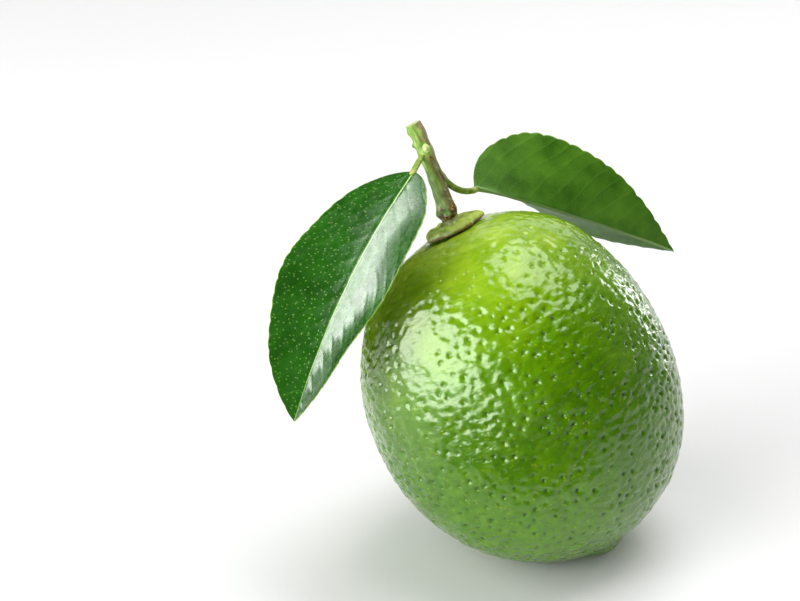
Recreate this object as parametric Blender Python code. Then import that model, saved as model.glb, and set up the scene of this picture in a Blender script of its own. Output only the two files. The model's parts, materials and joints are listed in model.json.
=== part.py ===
"""A lime as picked: fruit, calyx, cut twig with a bud, and two leaves on their petioles.

Metres, +Z up. The origin is the centre of the small flat spot that the fruit rests on.
Every piece is placed in the lime's own frame: its centre is the middle of the fruit, its
Z axis runs to the stem end, and the whole frame leans as the fruit lies.
"""

from math import cos, exp, pi, radians, sin
from typing import NamedTuple

import bmesh
import bpy
from mathutils import Matrix, Vector

# Fruit: a long oval, blunter at the stem end, with a low nipple at the other end
FRUIT_RADIUS = 0.0260
STEM_HALF = 0.0298            # fruit centre to the stem end
STYLAR_HALF = 0.0298          # fruit centre to the foot of the nipple
STEM_HALF_FULLNESS = 2.15     # 2 is an ellipse, more is blunter
STYLAR_HALF_FULLNESS = 2.06
STEM_END_SWAY = 0.0019        # how far the stem end sits off the fruit's middle line
STYLAR_END_SWAY = 0.0010
NIPPLE_HEIGHT = 0.0020
NIPPLE_RADIUS = 0.0056
SEAT_DIP = 0.0004             # shallow hollow under the calyx
SEAT_DIP_RADIUS = 0.0080
REST_SPOT_RADIUS = 0.0075
FRUIT_SEGMENTS = 48
FRUIT_RINGS = 30

# How the fruit lies
LEAN_LEFT = radians(26.0)
LEAN_BACK = radians(14.0)

# Clearance between pieces that touch
GAP = 0.0003

# Calyx: a low five-lobed disc with a collar round the foot of the twig
CALYX_RADIUS = 0.0052
CALYX_RIM = 0.0009
CALYX_LOBES = 5
CALYX_LOBE_DEPTH = 0.05       # share of the radius
COLLAR_RADIUS = 0.0017
COLLAR_HEIGHT = 0.0019
CALYX_SEGMENTS = 40

# Twig
STEM_LENGTH = 0.0163
STEM_RADIUS = 0.00128
STEM_FLARE = 0.00036          # extra radius just over the foot
STEM_FLARE_HEIGHT = 0.0009
STEM_FLARE_LENGTH = 0.0022
STEM_SWAY = Vector((0.0015, -0.0006, 0.0))
NODE_SWELL = 0.00014          # extra radius where a petiole leaves the twig
NODE_SWELL_LENGTH = 0.0011
STEM_RINGS = 20
STEM_SIDES = 12

# Petioles
PETIOLE_RADIUS = 0.00044
PETIOLE_RINGS = 12
PETIOLE_SIDES = 8

# Bud in the axil of the left petiole
BUD_RADIUS = 0.00062
BUD_LENGTH = 0.0016
BUD_RISE = 0.0009             # over the petiole's node
BUD_AZIMUTH = radians(282.0)

# Leaf blades
BLADE_THICKNESS = 0.00035
BLADE_ROWS = 43
BLADE_COLUMNS = 9
CRENATIONS = 14
CRENATION_DEPTH = 0.00025
BLADE_FOOT = 0.0004           # half width of the blade where it meets its petiole
BLADE_POINT = 0.0001          # half width at the very tip


class Leaf(NamedTuple):
    """One leaf with its petiole. Azimuths turn about the lime's Z axis, from +X."""

    side: str
    node_height: float        # of the petiole on the twig
    node_azimuth: float
    reach: Vector             # from the twig's middle line to the blade
    bend: Vector              # how far the petiole bends off a straight line
    length: float
    half_width: float
    foot_bluntness: float
    tip_sharpness: float
    foot_fold: float          # rise of each half over the midrib, at the foot
    tip_fold: float
    arch: float               # height of the midrib's bow
    spread: float             # of the tip beyond the fruit's side
    azimuth: float            # of the tip
    drop: float               # of the tip below the stem end
    face: Vector              # where the upper side looks


LEFT_LEAF = Leaf(
    side="left",
    node_height=0.0110,
    node_azimuth=radians(240.0),
    reach=Vector((-0.0030, -0.0044, -0.0014)),
    bend=Vector((0.0, 0.0, 0.0004)),
    length=0.0450,
    half_width=0.0130,
    foot_bluntness=0.62,
    tip_sharpness=0.77,
    foot_fold=radians(7.0),
    tip_fold=radians(22.0),
    arch=0.0024,
    spread=0.0138,
    azimuth=radians(213.2),
    drop=0.0137,
    face=Vector((-0.29, -0.58, 0.76)),
)
RIGHT_LEAF = Leaf(
    side="right",
    node_height=0.0062,
    node_azimuth=radians(20.0),
    reach=Vector((0.0049, 0.0024, -0.0043)),
    bend=Vector((-0.0011, -0.0006, -0.0019)),
    length=0.0480,
    half_width=0.0129,
    foot_bluntness=0.54,
    tip_sharpness=1.04,
    foot_fold=radians(77.0),
    tip_fold=radians(24.0),
    arch=0.0011,
    spread=0.0187,
    azimuth=radians(40.7),
    drop=0.0256,
    face=Vector((0.0, 0.74, 0.68)),
)

SEAT = Vector((STEM_END_SWAY, 0.0, STEM_HALF - SEAT_DIP))
STEM_FOOT = SEAT + Vector((0.0, 0.0, GAP + COLLAR_HEIGHT + GAP))
STEM_FOOT_SLOPE = 2.0 * STEM_SWAY / STEM_LENGTH     # of the twig's middle line at its foot


def clear_scene():
    for obj in list(bpy.data.objects):
        bpy.data.objects.remove(obj, do_unlink=True)


def skin(name, colour, roughness):
    """A plain material: colour as (red, green, blue) from 0 to 1."""
    material = bpy.data.materials.new(name)
    material.use_nodes = True
    shader = material.node_tree.nodes["Principled BSDF"]
    shader.inputs["Base Color"].default_value = (*colour, 1.0)
    shader.inputs["Roughness"].default_value = roughness
    shader.inputs["Metallic"].default_value = 0.0
    return material


def rind_material():
    return skin("lime_rind", (0.13, 0.27, 0.02), 0.32)


def calyx_material():
    return skin("calyx_green", (0.28, 0.36, 0.09), 0.55)


def bark_material():
    return skin("young_bark", (0.20, 0.30, 0.06), 0.60)


def bud_material():
    return skin("bud_scale", (0.50, 0.58, 0.20), 0.55)


def petiole_material():
    return skin("petiole_green", (0.18, 0.28, 0.04), 0.50)


def leaf_material():
    return skin("leaf_blade", (0.04, 0.13, 0.01), 0.30)


def attitude():
    """Turns the lime's own frame into the world as the fruit lies."""
    return Matrix.Rotation(-LEAN_BACK, 3, "X") @ Matrix.Rotation(-LEAN_LEFT, 3, "Y")


def lime_frame():
    """The empty that carries every piece."""
    frame = bpy.data.objects.new("lime_frame", None)
    frame.rotation_euler = attitude().to_euler()
    bpy.context.scene.collection.objects.link(frame)
    return frame


def add_piece(name, data, material, frame, location=(0.0, 0.0, 0.0), turn=None):
    """Links one named piece under the lime's frame and gives it its material."""
    piece = bpy.data.objects.new(name, data)
    piece.parent = frame
    piece.location = location
    if turn is not None:
        piece.rotation_euler = turn.to_euler()
    data.materials.append(material)
    bpy.context.scene.collection.objects.link(piece)
    return piece


def finish_mesh(bm, name):
    bmesh.ops.recalc_face_normals(bm, faces=bm.faces)
    mesh = bpy.data.meshes.new(name)
    bm.to_mesh(mesh)
    bm.free()
    mesh.shade_smooth()
    mesh.set_sharp_from_angle(angle=radians(40.0))
    return mesh


def outward(azimuth):
    """The level direction at this azimuth in the lime's frame."""
    return Vector((cos(azimuth), sin(azimuth), 0.0))


def swell(distance, width):
    """A smooth bump: 1 at no distance, fading over the width."""
    return exp(-(distance / width) ** 2)


# Fruit


def end_shape(height):
    """Half length and fullness of the end that this height belongs to."""
    if height >= 0.0:
        return STEM_HALF, STEM_HALF_FULLNESS
    return STYLAR_HALF, STYLAR_HALF_FULLNESS


def sway(height):
    """Sideways drift of the fruit's middle line, along X."""
    if height >= 0.0:
        return STEM_END_SWAY * (height / STEM_HALF) ** 3
    return STYLAR_END_SWAY * (-height / STYLAR_HALF) ** 3


def nipple(across):
    """How far the stylar end stands out, this far from the middle line."""
    if across >= NIPPLE_RADIUS:
        return 0.0
    return NIPPLE_HEIGHT * (1.0 - (across / NIPPLE_RADIUS) ** 2) ** 1.5


def seat_dip(across):
    """How far the stem end sinks under the calyx, this far from the middle line."""
    if across >= SEAT_DIP_RADIUS:
        return 0.0
    return SEAT_DIP * (1.0 - (across / SEAT_DIP_RADIUS) ** 2) ** 2


def rind_point(direction):
    """The point of the rind that lies in this direction from the fruit's centre."""
    half, fullness = end_shape(direction.z)
    across = direction.xy.length
    bulk = (abs(direction.z) / half) ** fullness + (across / FRUIT_RADIUS) ** fullness
    reach = bulk ** (-1.0 / fullness)
    point = direction * reach
    if direction.z < 0.0:
        point.z -= nipple(across * reach)
    else:
        point.z -= seat_dip(across * reach)
    point.x += sway(point.z)
    return point


def rind_height(x, y):
    """Height of the rind over the fruit's centre, near the stem end."""
    height = STEM_HALF
    for _ in range(4):        # the sway depends on the height, so close in on it
        across = Vector((x - sway(height), y)).length
        share = (across / FRUIT_RADIUS) ** STEM_HALF_FULLNESS
        height = STEM_HALF * (1.0 - share) ** (1.0 / STEM_HALF_FULLNESS)
    return height - seat_dip(across)


def add_fruit(frame):
    """The fruit, with its flat spot cut level; returns the spot's centre."""
    bm = bmesh.new()
    bmesh.ops.create_uvsphere(bm, u_segments=FRUIT_SEGMENTS, v_segments=FRUIT_RINGS, radius=1.0)
    for vert in bm.verts:
        vert.co = rind_point(vert.co.normalized())
    down = attitude().inverted() @ Vector((0.0, 0.0, -1.0))
    lowest = max(vert.co.dot(down) for vert in bm.verts)
    spot_depth = REST_SPOT_RADIUS ** 2 / (2.0 * FRUIT_RADIUS)
    cut = bmesh.ops.bisect_plane(
        bm, geom=bm.verts[:] + bm.edges[:] + bm.faces[:], dist=1e-7,
        plane_co=down * (lowest - spot_depth), plane_no=down, clear_outer=True)
    rim = [item for item in cut["geom_cut"] if isinstance(item, bmesh.types.BMEdge)]
    spot = bmesh.ops.contextual_create(bm, geom=rim)["faces"][0]
    centre = spot.calc_center_median_weighted()
    add_piece("fruit", finish_mesh(bm, "fruit"), rind_material(), frame)
    return centre


# Calyx


def calyx_profile():
    """Half section as (distance from the middle, height over the rind), bottom to top."""
    return [
        (0.0, 0.0),
        (0.35 * CALYX_RADIUS, 0.0),
        (0.70 * CALYX_RADIUS, 0.0),
        (0.94 * CALYX_RADIUS, 0.0),
        (CALYX_RADIUS, 0.35 * CALYX_RIM),
        (0.97 * CALYX_RADIUS, 0.80 * CALYX_RIM),
        (0.86 * CALYX_RADIUS, CALYX_RIM),
        (1.25 * COLLAR_RADIUS, 1.15 * CALYX_RIM),
        (COLLAR_RADIUS, 0.70 * COLLAR_HEIGHT),
        (0.97 * COLLAR_RADIUS, 0.95 * COLLAR_HEIGHT),
        (0.85 * COLLAR_RADIUS, COLLAR_HEIGHT),
        (0.0, COLLAR_HEIGHT),
    ]


def add_calyx(frame):
    """The calyx: its disc follows the rind under it, its collar is square to the twig's foot."""
    bm = bmesh.new()
    verts = [bm.verts.new((across, 0.0, height)) for across, height in calyx_profile()]
    edges = [bm.edges.new(pair) for pair in zip(verts, verts[1:])]
    bmesh.ops.spin(bm, geom=verts + edges, axis=(0, 0, 1), cent=(0, 0, 0),
                   steps=CALYX_SEGMENTS, angle=2.0 * pi, use_merge=True)
    bmesh.ops.remove_doubles(bm, verts=bm.verts, dist=1e-7)
    for vert in bm.verts:
        outer = (vert.co.xy.length / CALYX_RADIUS) ** 2
        angle = vert.co.xy.angle_signed(Vector((1.0, 0.0)), 0.0)
        vert.co.xy *= 1.0 + CALYX_LOBE_DEPTH * outer * cos(CALYX_LOBES * angle)
        if vert.co.xy.length <= COLLAR_RADIUS and vert.co.z > 0.0:
            vert.co.z -= STEM_FOOT_SLOPE.xy.dot(vert.co.xy) * vert.co.z / COLLAR_HEIGHT
        else:
            vert.co.z += rind_height(SEAT.x + vert.co.x, SEAT.y + vert.co.y) - SEAT.z
        vert.co.z += GAP
    add_piece("calyx", finish_mesh(bm, "calyx"), calyx_material(), frame, SEAT)


# Twig and bud


def stem_centre(height):
    """Middle line of the twig at this height over its foot."""
    left = 1.0 - height / STEM_LENGTH
    return STEM_FOOT + STEM_SWAY * (1.0 - left ** 2) + Vector((0.0, 0.0, height))


def stem_radius(height):
    """Radius of the twig: a flare over its foot and a swelling at each node."""
    radius = STEM_RADIUS + STEM_FLARE * swell(height - STEM_FLARE_HEIGHT, STEM_FLARE_LENGTH)
    for leaf in (LEFT_LEAF, RIGHT_LEAF):
        radius += NODE_SWELL * swell(height - leaf.node_height, NODE_SWELL_LENGTH)
    return radius


def add_tube(name, points, radii, sides, material, frame):
    """A capped round tube through the points, with a radius at each."""
    curve = bpy.data.curves.new(name, "CURVE")
    curve.dimensions = "3D"
    curve.bevel_depth = 1.0
    curve.bevel_resolution = sides // 2 - 2
    curve.use_fill_caps = True
    spline = curve.splines.new("POLY")
    spline.points.add(len(points) - 1)
    for target, point, radius in zip(spline.points, points, radii):
        target.co = (*point, 1.0)
        target.radius = radius
    spline.use_smooth = True
    add_piece(name, curve, material, frame)


def add_stem(frame):
    heights = [STEM_LENGTH * ring / (STEM_RINGS - 1) for ring in range(STEM_RINGS)]
    points = [stem_centre(height) for height in heights]
    radii = [stem_radius(height) for height in heights]
    add_tube("stem", points, radii, STEM_SIDES, bark_material(), frame)


def add_bud(frame):
    """An egg-shaped bud on the twig, in the axil of the left petiole."""
    height = LEFT_LEAF.node_height + BUD_RISE
    stand_off = stem_radius(height) + GAP + BUD_RADIUS
    centre = stem_centre(height) + outward(BUD_AZIMUTH) * stand_off
    bm = bmesh.new()
    bmesh.ops.create_icosphere(bm, subdivisions=2, radius=1.0)
    bmesh.ops.scale(bm, verts=bm.verts, vec=(BUD_RADIUS, BUD_RADIUS, 0.5 * BUD_LENGTH))
    add_piece("bud", finish_mesh(bm, "bud"), bud_material(), frame, centre)


# Leaves


def blade_foot(leaf):
    return stem_centre(leaf.node_height) + leaf.reach


def blade_aim(leaf):
    """Direction of the midrib, from the blade's foot to a tip kept clear of the fruit."""
    tip = outward(leaf.azimuth) * (FRUIT_RADIUS + leaf.spread)
    tip.z = STEM_HALF - leaf.drop
    return (tip - blade_foot(leaf)).normalized()


def stand_off(run, facing):
    """Clearance for a petiole's square-cut end, more where it meets its neighbour at a slant."""
    slant = run.normalized().cross(facing).length
    return GAP + PETIOLE_RADIUS * slant


def add_petiole(leaf, frame):
    """A quadratic curve from the twig's bark to the foot of the blade."""
    away = outward(leaf.node_azimuth)
    aim = blade_aim(leaf)
    bark = stem_centre(leaf.node_height) + away * stem_radius(leaf.node_height)
    foot = blade_foot(leaf)
    middle = bark.lerp(foot, 0.5) + leaf.bend
    start = bark + away * stand_off(middle - bark, away)
    end = foot - aim * stand_off(foot - middle, aim)
    points = []
    for ring in range(PETIOLE_RINGS):
        share = ring / (PETIOLE_RINGS - 1)
        points.append(start.lerp(middle, share).lerp(middle.lerp(end, share), share))
    radii = [PETIOLE_RADIUS] * PETIOLE_RINGS
    add_tube(leaf.side + "_petiole", points, radii, PETIOLE_SIDES, petiole_material(), frame)


def blade_half_width(leaf, share):
    """Half width of the blade at this share of its length."""
    widest = leaf.foot_bluntness / (leaf.foot_bluntness + leaf.tip_sharpness)
    rise = (share / widest) ** leaf.foot_bluntness
    fall = ((1.0 - share) / (1.0 - widest)) ** leaf.tip_sharpness
    least = BLADE_FOOT * (1.0 - share) + BLADE_POINT * share
    return max(leaf.half_width * rise * fall, least)


def scallop(share):
    """How far the blunt teeth of the margin pull in at this share of the length."""
    return CRENATION_DEPTH * (1.0 - abs(sin(pi * CRENATIONS * share)))


def blade_mesh(leaf):
    """A folded blade: midrib along X, upper face to +Z, both halves rising from it."""
    bm = bmesh.new()
    bmesh.ops.create_grid(bm, x_segments=BLADE_ROWS - 1, y_segments=BLADE_COLUMNS - 1, size=1.0)
    for vert in bm.verts:
        share = 0.5 * (vert.co.x + 1.0)
        across = vert.co.y
        width = blade_half_width(leaf, share)
        if abs(across) > 0.99:
            width = max(width - scallop(share), BLADE_POINT)
        fold = leaf.foot_fold + (leaf.tip_fold - leaf.foot_fold) * share
        bow = 4.0 * leaf.arch * share * (1.0 - share)
        vert.co.x = leaf.length * share
        vert.co.y = across * width * cos(fold)
        vert.co.z = abs(across) * width * sin(fold) + bow
    return finish_mesh(bm, leaf.side + "_leaf")


def add_blade(leaf, frame):
    """Hangs the blade on its petiole, its midrib along the aim and its upper side to the face."""
    aim = blade_aim(leaf)
    across = leaf.face.cross(aim).normalized()
    turn = Matrix((aim, across, aim.cross(across))).transposed()
    blade = add_piece(leaf.side + "_leaf", blade_mesh(leaf), leaf_material(), frame,
                      blade_foot(leaf), turn)
    thicken = blade.modifiers.new("thickness", "SOLIDIFY")
    thicken.thickness = BLADE_THICKNESS
    thicken.offset = 0.0
    thicken.use_even_offset = True


def main():
    clear_scene()
    frame = lime_frame()
    spot = add_fruit(frame)
    add_calyx(frame)
    add_stem(frame)
    add_bud(frame)
    for leaf in (LEFT_LEAF, RIGHT_LEAF):
        add_petiole(leaf, frame)
        add_blade(leaf, frame)
    frame.location = -(attitude() @ spot)
    bpy.context.view_layer.update()


main()
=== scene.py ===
# %% [markdown]
# # A lime, as it was picked
#
# The fruit keeps its calyx, a short cut twig with a bud, and two leaves on their petioles.
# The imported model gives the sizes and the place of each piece. This lesson gives each piece
# the surface that it has in life: pits and pores in the rind, cork on the calyx, ribs and
# scars on the twig, veins in the leaves. Every piece is made in code, so any number below
# can be changed and the whole lime made again. Lengths are in metres, written as a number
# of millimetres times MM.

import json
from math import cos, exp, pi, radians, sin
from typing import NamedTuple

import bmesh
import bpy
import numpy as np
from mathutils import Matrix, Vector, kdtree, noise

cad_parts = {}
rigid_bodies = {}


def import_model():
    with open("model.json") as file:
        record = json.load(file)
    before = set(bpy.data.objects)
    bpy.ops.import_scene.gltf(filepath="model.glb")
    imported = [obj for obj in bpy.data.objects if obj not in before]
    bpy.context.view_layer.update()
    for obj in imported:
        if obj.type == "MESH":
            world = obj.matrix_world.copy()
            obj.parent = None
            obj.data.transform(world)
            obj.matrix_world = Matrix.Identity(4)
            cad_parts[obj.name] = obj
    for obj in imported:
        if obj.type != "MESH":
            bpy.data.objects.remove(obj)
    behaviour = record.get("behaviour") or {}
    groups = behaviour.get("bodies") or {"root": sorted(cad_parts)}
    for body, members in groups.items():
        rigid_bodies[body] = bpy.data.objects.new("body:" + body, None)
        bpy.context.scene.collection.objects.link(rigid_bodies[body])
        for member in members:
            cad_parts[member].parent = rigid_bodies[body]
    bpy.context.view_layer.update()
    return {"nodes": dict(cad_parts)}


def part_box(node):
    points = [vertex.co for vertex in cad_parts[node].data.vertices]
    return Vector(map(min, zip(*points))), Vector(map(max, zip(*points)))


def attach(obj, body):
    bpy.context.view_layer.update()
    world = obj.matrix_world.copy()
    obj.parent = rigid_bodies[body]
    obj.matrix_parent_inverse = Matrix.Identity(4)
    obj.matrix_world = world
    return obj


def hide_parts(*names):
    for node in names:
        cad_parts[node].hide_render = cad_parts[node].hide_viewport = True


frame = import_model()
MM = 0.001
print("nodes:", ", ".join(sorted(frame["nodes"])))

# %% [markdown]
# ## The lime's own frame
#
# A fruit grows round one axis, from the stem end to the tip. It is easiest to make every
# piece in a frame where that axis is Z and the middle of the fruit is the origin, and to
# turn the finished piece into the world as the fruit lies. Two angles give the lie. The
# shape of the bare fruit is written as a rule: from the middle, in any direction, how far
# is it to the rind? A sphere would answer with one radius. A lime is a superellipse, a
# little blunter than an ellipse, with a nipple at the far end.

# %% The fruit's shape as a rule
FRUIT_RADIUS = 26.0 * MM
HALF_LENGTH = 29.8 * MM
STEM_HALF_FULLNESS = 2.15
STYLAR_HALF_FULLNESS = 2.06
STEM_END_SWAY = 1.9 * MM
STYLAR_END_SWAY = 1.0 * MM
NIPPLE_HEIGHT = 2.0 * MM
NIPPLE_RADIUS = 5.6 * MM
SEAT_DIP = 0.4 * MM
SEAT_DIP_RADIUS = 8.0 * MM
LEAN_LEFT = radians(26.0)
LEAN_BACK = radians(14.0)
ATTITUDE = Matrix.Rotation(-LEAN_BACK, 3, "X") @ Matrix.Rotation(-LEAN_LEFT, 3, "Y")


def cap(share, power):
    """A cap that is 1 at no distance and fades to 0 at share 1."""
    return np.clip(1.0 - share ** 2, 0.0, None) ** power


def bare_rind(directions):
    """Points of the smooth rind in these unit directions, in the lime's frame."""
    across = np.hypot(directions[:, 0], directions[:, 1])
    up = directions[:, 2]
    fullness = np.where(up >= 0.0, STEM_HALF_FULLNESS, STYLAR_HALF_FULLNESS)
    bulk = (abs(up) / HALF_LENGTH) ** fullness + (across / FRUIT_RADIUS) ** fullness
    points = directions * (bulk ** (-1.0 / fullness))[:, None]
    out = np.hypot(points[:, 0], points[:, 1])
    nipple = NIPPLE_HEIGHT * cap(out / NIPPLE_RADIUS, 1.5)
    dip = SEAT_DIP * cap(out / SEAT_DIP_RADIUS, 2.0)
    points[:, 2] -= np.where(up < 0.0, nipple, dip)
    share = points[:, 2] / HALF_LENGTH
    points[:, 0] += np.where(share >= 0.0, STEM_END_SWAY, -STYLAR_END_SWAY) * share ** 3
    return points


ends = bare_rind(np.array([(0.0, 0.0, 1.0), (0.0, 0.0, -1.0)]))
print("bare fruit in mm:", round(2.0 * FRUIT_RADIUS / MM, 1), "across and",
      round((ends[0, 2] - ends[1, 2]) / MM, 1), "from the stem end to the nipple")

# %% [markdown]
# ## Where the lime lies
#
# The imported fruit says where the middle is. The rule above is turned into the world, and
# the two boxes are laid on each other: they agree in X, in Y and at the top. At the bottom
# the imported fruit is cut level, because it rests there.

# %% Find the middle of the fruit
PROBE_CUTS = 30


def in_world(points):
    """Turns points of the lime's frame the way the fruit leans."""
    return points @ np.array(ATTITUDE).T


def globe(cuts):
    """A ball of even triangles: an icosahedron with each edge cut this many times."""
    bm = bmesh.new()
    bmesh.ops.create_icosphere(bm, subdivisions=1, radius=1.0)
    bmesh.ops.subdivide_edges(bm, edges=bm.edges[:], cuts=cuts, use_grid_fill=True)
    for vert in bm.verts:
        vert.co.normalize()
    bm.verts.ensure_lookup_table()
    return bm


def coordinates(mesh):
    """The vertices of a mesh as rows of X, Y and Z."""
    flat = np.empty(len(mesh.vertices) * 3)
    mesh.vertices.foreach_get("co", flat)
    return flat.reshape(-1, 3)


probe = globe(PROBE_CUTS)
turned = in_world(bare_rind(np.array([vert.co for vert in probe.verts])))
probe.free()
low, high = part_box("fruit")
fruit_middle = 0.5 * (Vector(low) + Vector(high))
fruit_middle -= Vector(0.5 * (turned.min(0) + turned.max(0)))
fruit_middle.z = high.z - turned[:, 2].max()
LIME = Matrix.Translation(fruit_middle) @ ATTITUDE.to_4x4()
print("middle of the fruit in mm:", [round(value / MM, 2) for value in fruit_middle])

# %% [markdown]
# ## Making and placing a piece
#
# Each piece is made as a mesh in the lime's frame, gets its finishes, and takes the place of one
# imported node, which is hidden. The finish often has to know something that only the maker of
# the mesh knows, such as how near a vein is. It could be worked out again in nodes, but it is
# simpler to store it with each vertex, where the finish reads it as an attribute. Where each
# vertex grew is stored too, so that a pattern follows the fruit and not the table.

# %% Make and place a piece
def new_mesh(name, points, faces):
    mesh = bpy.data.meshes.new(name)
    mesh.from_pydata([tuple(point) for point in points], [], faces)
    mesh.update()
    mesh.shade_smooth()
    return mesh


def store(mesh, name, values):
    """Keeps one number, or one row of three, with each vertex for the finish to read."""
    kind, field = ("FLOAT", "value") if np.ndim(values) == 1 else ("FLOAT_VECTOR", "vector")
    attribute = mesh.attributes.new(name, kind, "POINT")
    attribute.data.foreach_set(field, np.asarray(values, np.float32).ravel())


def place(name, mesh, node, slot, *finishes):
    """Puts a piece where the lime lies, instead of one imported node."""
    store(mesh, "grown_at", coordinates(mesh))
    mesh.transform(LIME)
    piece = bpy.data.objects.new(name, mesh)
    bpy.context.scene.collection.objects.link(piece)
    for finish in finishes:
        mesh.materials.append(finish.material)
    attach(piece, "root")
    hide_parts(node)
    print(f"{name}: {len(mesh.vertices)} vertices for {node}")
    return piece


# %% [markdown]
# ## Finishes as small trees of nodes
#
# A finish is a tree of nodes ahead of one shader. A number that is the same all over the
# piece is set on the shader itself. Whatever changes from place to place comes from nodes.
# Wiring them by hand takes three lines for each, and a class makes it one: an input takes
# either a plain value or another node's output.

# %% Build a finish
class Finish:
    """One material and short ways to add nodes to it."""

    def __init__(self, name, **settings):
        self.material = bpy.data.materials.new(name)
        self.material.use_nodes = True
        self.tree = self.material.node_tree
        self.shader = self.tree.nodes["Principled BSDF"]
        for socket, value in settings.items():
            self.shader.inputs[socket.replace("_", " ")].default_value = value

    def node(self, kind, inputs, **settings):
        made = self.tree.nodes.new("ShaderNode" + kind)
        for name, value in settings.items():
            setattr(made, name, value)
        for key, value in inputs.items():
            if isinstance(value, bpy.types.NodeSocket):
                self.tree.links.new(value, made.inputs[key])
            else:
                made.inputs[key].default_value = value
        return made

    def position(self):
        """Where each point grew, in the lime's frame, in metres."""
        return self.stored("grown_at", "Vector")

    def spot(self):
        """Position in the object's own frame, for what didn't grow."""
        return self.node("TexCoord", {}).outputs["Object"]

    def stored(self, name, output="Fac"):
        """A number that the mesh keeps with each vertex."""
        return self.node("Attribute", {}, attribute_name=name).outputs[output]

    def noise(self, where, scale, detail=2.0, roughness=0.5):
        """Soft clouds from 0 to 1, about 1 / scale apart."""
        inputs = {"Vector": where, "Scale": scale, "Detail": detail, "Roughness": roughness}
        return self.node("TexNoise", inputs).outputs["Fac"]

    def cells(self, where, scale, flat=False):
        """Cells of size 1 / scale; flat ones lie in the X and Y of the vector."""
        inputs = {"Vector": where, "Scale": scale}
        return self.node("TexVoronoi", inputs, voronoi_dimensions="2D" if flat else "3D")

    def math(self, operation, first, second=0.0, third=0.0):
        inputs = {0: first, 1: second, 2: third}
        return self.node("Math", inputs, operation=operation).outputs[0]

    def fade(self, value, start, end, low=0.0, high=1.0):
        """A smooth change from low to high as the value goes from start to end."""
        inputs = {"Value": value, "From Min": start, "From Max": end, "To Min": low,
                  "To Max": high}
        return self.node("MapRange", inputs, interpolation_type="SMOOTHSTEP").outputs[0]

    def stretch(self, where, scale):
        """Position times a scale for each axis; a small scale draws a pattern out."""
        return self.node("Mapping", {"Vector": where, "Scale": scale}).outputs[0]

    def mix(self, share, first, second):
        """Mixes two colours: the first at share 0, the second at share 1."""
        made = self.node("Mix", {0: share}, data_type="RGBA")
        for index, value in ((6, first), (7, second)):
            if isinstance(value, bpy.types.NodeSocket):
                self.tree.links.new(value, made.inputs[index])
            else:
                made.inputs[index].default_value = (*value, 1.0)
        return made.outputs[2]

    def ramp(self, value, *stops):
        """Colours along a value, as (place from 0 to 1, colour)."""
        made = self.node("ValToRGB", {"Fac": value})
        while len(made.color_ramp.elements) < len(stops):
            made.color_ramp.elements.new(0.5)
        for element, (at, colour) in zip(made.color_ramp.elements, stops):
            element.position = at
            element.color = (*colour, 1.0)
        return made.outputs["Color"]

    def shine(self, roughness):
        self.tree.links.new(roughness, self.shader.inputs["Roughness"])

    def paint(self, colour):
        self.tree.links.new(colour, self.shader.inputs["Base Color"])

    def emboss(self, height, depth):
        """Lifts the surface by height, from 0 to 1, times this depth in metres."""
        bump = self.node("Bump", {"Height": height, "Distance": depth, "Strength": 1.0})
        self.tree.links.new(bump.outputs["Normal"], self.shader.inputs["Normal"])


# %% [markdown]
# ## The rind: pores
#
# A lime's rind is full of oil glands, about two millimetres apart, and each one sits under
# a small pit. A noise texture could fake them, but real pits keep their distance from each
# other, and noise doesn't. So the pits are points on a ball. They start on a spiral that
# spreads them evenly, are shaken so that no rows show, and then push each other apart a
# few times.

# %% Spread the pits
rng = np.random.default_rng(7)
PITS = 2500
SHAKE = 0.45                  # of the distance between two pits
SPREADING_ROUNDS = 10
NEIGHBOURS = 4
PUSH = 0.25                   # of the overlap, in each round


def spiral(count):
    """Points spread evenly over a unit ball."""
    step = np.arange(count) + 0.5
    height = 1.0 - 2.0 * step / count
    turn = step * pi * (3.0 - 5.0 ** 0.5)
    across = np.sqrt(1.0 - height ** 2)
    return np.stack([across * np.cos(turn), across * np.sin(turn), height], axis=1)


def tree_of(points):
    """A tree that finds the nearest of these points quickly."""
    tree = kdtree.KDTree(len(points))
    for index, point in enumerate(points):
        tree.insert(point, index)
    tree.balance()
    return tree


def spread_pits():
    """Directions of the pits, shaken off the spiral and pushed apart again."""
    pitch = (4.0 * pi / PITS) ** 0.5
    pits = spiral(PITS) + rng.normal(0.0, SHAKE * pitch, (PITS, 3))
    pits /= np.linalg.norm(pits, axis=1)[:, None]
    for _ in range(SPREADING_ROUNDS):
        tree = tree_of(pits)
        push = np.zeros_like(pits)
        for index, pit in enumerate(pits):
            for near, _, gap in tree.find_n(pit, NEIGHBOURS + 1)[1:]:
                away = pit - np.array(near)
                push[index] += away / (gap + 1e-6) * max(0.0, pitch - gap)
        pits += PUSH * push
        pits /= np.linalg.norm(pits, axis=1)[:, None]
    return pits


pit_directions = spread_pits()
pit_points = bare_rind(pit_directions)
pit_depths = rng.uniform(0.2, 1.0, PITS) ** 1.8      # most are shallow, a few are deep
pit_radii = rng.uniform(0.75, 1.25, PITS)
pit_tree = tree_of(pit_points)
pit_gaps = [pit_tree.find_n(point, 2)[1][2] for point in pit_points]
print(PITS, "pits,", round(float(np.mean(pit_gaps)) / MM, 2), "mm to the nearest other one")
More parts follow.
